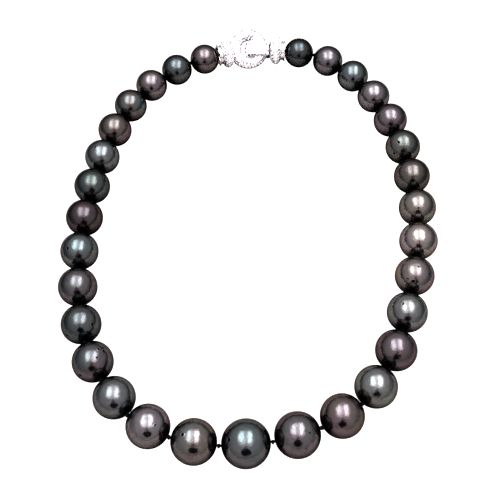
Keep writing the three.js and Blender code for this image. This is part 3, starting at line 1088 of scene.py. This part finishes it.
def brilliant_cut():
    """A round brilliant with a girdle of radius 1 and its table facing +Z."""
    points = []
    for count, radius, height, turn in [
        (8, 0.56, 0.32, 22.5),
        (8, 0.8, 0.19, 0.0),
        (16, 1.0, 0.0, 0.0),
        (16, 1.0, -0.1, 0.0),
    ]:
        for even_turn in even_turns(count):
            angle = math.radians(turn) + even_turn
            points.append((radius * math.cos(angle), radius * math.sin(angle), height))
    points.append((0, 0, -0.85))
    faces = [list(range(8))]
    for corner in range(8):
        following = (corner + 1) % 8
        faces.append([8 + corner, 8 + following, corner])
        faces.append([corner, 8 + following, following])
        middle = 16 + 2 * corner
        faces.append([8 + corner, middle, middle + 1])
        faces.append([8 + corner, middle + 1, 8 + following])
        faces.append([8 + following, middle + 1, 16 + (2 * corner + 2) % 16])
    for corner in range(16):
        following = (corner + 1) % 16
        faces.append([16 + corner, 32 + corner, 32 + following, 16 + following])
        faces.append([32 + corner, 48, 32 + following])
    return points, faces


def bead():
    """A small round-topped bead of metal with its foot below z = 0."""
    rows = [(0.55, 0.85), (0.95, 0.35), (1.0, -0.4)]
    points = [(0, 0, 1)]
    for out, height in rows:
        for turn in even_turns(8):
            points.append((out * math.cos(turn), out * math.sin(turn), height))
    faces = [[0, 1 + step, 1 + (step + 1) % 8] for step in range(8)]
    for row in range(2):
        for step in range(8):
            low, beside = 1 + 8 * row + step, 1 + 8 * row + (step + 1) % 8
            faces.append([low, low + 8, beside + 8, beside])
    faces.append(list(range(24, 16, -1)))
    return points, faces


def planted(place, facing, size, turn=0.0):
    """Stands a unit shape on a surface, its own +Z the way the surface faces."""
    side = facing.orthogonal().normalized()
    matrix = Matrix((side, facing.cross(side), facing)).transposed().to_4x4()
    matrix.translation = place
    return matrix @ Matrix.Rotation(turn, 4, "Z") @ Matrix.Scale(size, 4)


class Pave:
    """The stones and beads set on one body, gathered in metres."""

    def __init__(self, body, stone_matter, gold):
        self.body = body
        self.matter = {"stones": stone_matter, "beads": gold}
        self.builds = {"stones": Build(), "beads": Build()}
        self.chance = random.Random(body)

    def stone(self, frame_matrix, place, facing):
        lean = Vector(self.chance.uniform(-0.03, 0.03) for _ in range(3))
        size = STONE_RADIUS * self.chance.uniform(0.96, 1.02)
        turn = self.chance.uniform(0, math.tau)
        seat = planted(place - 0.03 * facing, (facing + lean).normalized(), size, turn)
        self.builds["stones"].add(*brilliant_cut(), frame_matrix @ seat)

    def bead(self, frame_matrix, place, facing, size=BEAD_RADIUS):
        seat = planted(place, facing, size * self.chance.uniform(0.9, 1.1))
        self.builds["beads"].add(*bead(), frame_matrix @ seat)

    def finish(self):
        slots = {"stones": "diamond", "beads": "white_gold"}
        for kind, build in self.builds.items():
            name = f"{self.body}_{kind}"
            matter = self.matter[kind]
            smooth = kind == "beads"
            build.piece(name, Matrix.Identity(4), matter, self.body, smooth=smooth, slot=slots[kind])


def nowhere(place):
    return False


def pave_rows(pave, frame_matrix, levels, surface, circumference, buried=nowhere):
    """Staggered rows round an axis. surface(level, turn) gives the place and the way it faces."""
    for row, height in enumerate(levels):
        count = int(circumference(height) / STONE_PITCH)
        for index in range(count):
            place, facing = surface(height, math.tau * (index + 0.5 * (row % 2)) / count)
            if not buried(frame_matrix @ place):
                pave.stone(frame_matrix, place, facing)
    for low, high in zip(levels, levels[1:]):
        between = (low + high) / 2
        for turn in even_turns(2 * int(circumference(between) / STONE_PITCH)):
            place, facing = surface(between, turn)
            if not buried(frame_matrix @ place):
                pave.bead(frame_matrix, place, facing)


def milgrain(pave, frame_matrix, surface, level_at, length, buried=nowhere):
    """A border of small beads touching one another."""
    for turn in even_turns(int(length / 0.34)):
        place, facing = surface(level_at, turn)
        if not buried(frame_matrix @ place):
            pave.bead(frame_matrix, place, facing, BORDER_BEAD_RADIUS)


def in_ring(place, margin=0.3):
    """Whether a place in the frame is inside the ring's tube."""
    x, y, z = RING.inverted() @ place
    return math.hypot(math.hypot(x, y) - RING_RADIUS, z) < RING_TUBE + margin


def in_bell(place, margin=0.3):
    """Whether a place in the frame is inside the left cap."""
    x, y, z = LEFT.inverted() @ place
    sine = (x - LEFT_WIDEST) / (BELL_SWELL_BACK if x < LEFT_WIDEST else BELL_SWELL_FRONT)
    if x < LEFT_WIDEST - BELL_FLAT_BACK - margin or abs(sine) >= 1:
        return False
    return math.hypot(y, z) < BELL_RADIUS * math.sqrt(1 - sine * sine) + margin


def bell_levels():
    """Angles along a cap's side that are one stone apart."""
    angle = BELL_BACK + math.radians(5)
    levels = []
    while angle < BELL_FRONT - math.radians(4):
        levels.append(angle)
        here, _ = bell_point(0, angle, 0)
        while (bell_point(0, angle, 0)[0] - here).length < STONE_PITCH * 0.93:
            angle += 0.01
    return levels


def set_bell(pave, frame_matrix, widest, buried=nowhere):
    def surface(angle, turn):
        return bell_point(widest, angle, turn, 0.06)

    def circumference(angle):
        return math.tau * BELL_RADIUS * math.cos(angle)

    pave_rows(pave, frame_matrix, bell_levels(), surface, circumference, buried)
    for edge in (BELL_BACK, BELL_FRONT):
        milgrain(pave, frame_matrix, surface, edge, circumference(edge), buried)


def set_ring(pave):
    def surface(tilt, spin):
        return torus_point(spin, tilt, RING_TUBE - 0.05)

    def circumference(tilt):
        return math.tau * (RING_RADIUS + RING_TUBE * math.cos(tilt))

    tilts = [math.radians(degrees) for degrees in (-14, 19, 52, 85, 118, 151)]
    pave_rows(pave, RING, tilts, surface, circumference, in_bell)
    for degrees in (-33, 171):
        edge = math.radians(degrees)
        milgrain(pave, RING, surface, edge, circumference(edge), in_bell)


def set_tongue(pave):
    """Three rows of stones down the strap, and beads between them and along both edges."""
    line = strap_line(TONGUE_LINE, tongue_half_width)
    travelled = 0.0
    spots = []
    for index in range(1, len(line)):
        x, z, thickness, half_width = line[index]
        step = Vector((x - line[index - 1][0], 0, z - line[index - 1][1]))
        travelled += step.length
        facing = Vector((step.z, 0, -step.x)).normalized()
        spots.append((travelled, Vector((x, 0, z)), facing, thickness / 2, half_width))

    def nearest(distance):
        return min(spots, key=lambda spot: abs(spot[0] - distance))

    def put(adder, distance, across, depth):
        _, centre, facing, half_thickness, half_width = nearest(distance)
        if abs(across) < half_width - 0.55 or adder == pave.bead and abs(across) < half_width - 0.2:
            place = centre + facing * (half_thickness - depth) + Vector((0, across, 0))
            adder(HOOK, place, facing)

    for row, across in enumerate((-1.33, 0.0, 1.33)):
        for index in range(9):
            distance = 0.55 + 1.3 * (index + 0.5 * (row % 2))
            if distance < travelled - 0.6:
                put(pave.stone, distance, across, 0.02)
    for across in (-2.15, -0.68, 0.68, 2.15):
        for index in range(15):
            distance = 0.5 + 0.66 * index
            if distance < travelled - 0.3:
                put(pave.bead, distance, across, 0.0)


def make_clasp():
    gold, stones = white_gold(), brilliant()
    ring = Build()
    ring.add(*ring_torus(RING_TUBE - 0.06))
    ring.piece("ring_metal", RING, gold, "ring_half", replaces=["clasp_ring"])
    make_cap("left", "ring_half", LEFT, LEFT_WIDEST, gold)
    make_cap("right", "hook_half", HOOK, RIGHT_WIDEST, gold)
    make_hook(gold)
    paves = {body: Pave(body, stones, gold) for body in ("ring_half", "hook_half", "tongue")}
    set_ring(paves["ring_half"])
    set_bell(paves["ring_half"], LEFT, LEFT_WIDEST, in_ring)
    set_bell(paves["hook_half"], HOOK, RIGHT_WIDEST)
    set_tongue(paves["tongue"])
    for pave in paves.values():
        pave.finish()


make_camera()
make_lights()
make_world()
make_stage()
make_pearls()
make_silk(black_silk())
make_clasp()

bpy.context.scene.view_settings.view_transform = "Standard"
bpy.context.scene.view_settings.look = "Medium High Contrast"
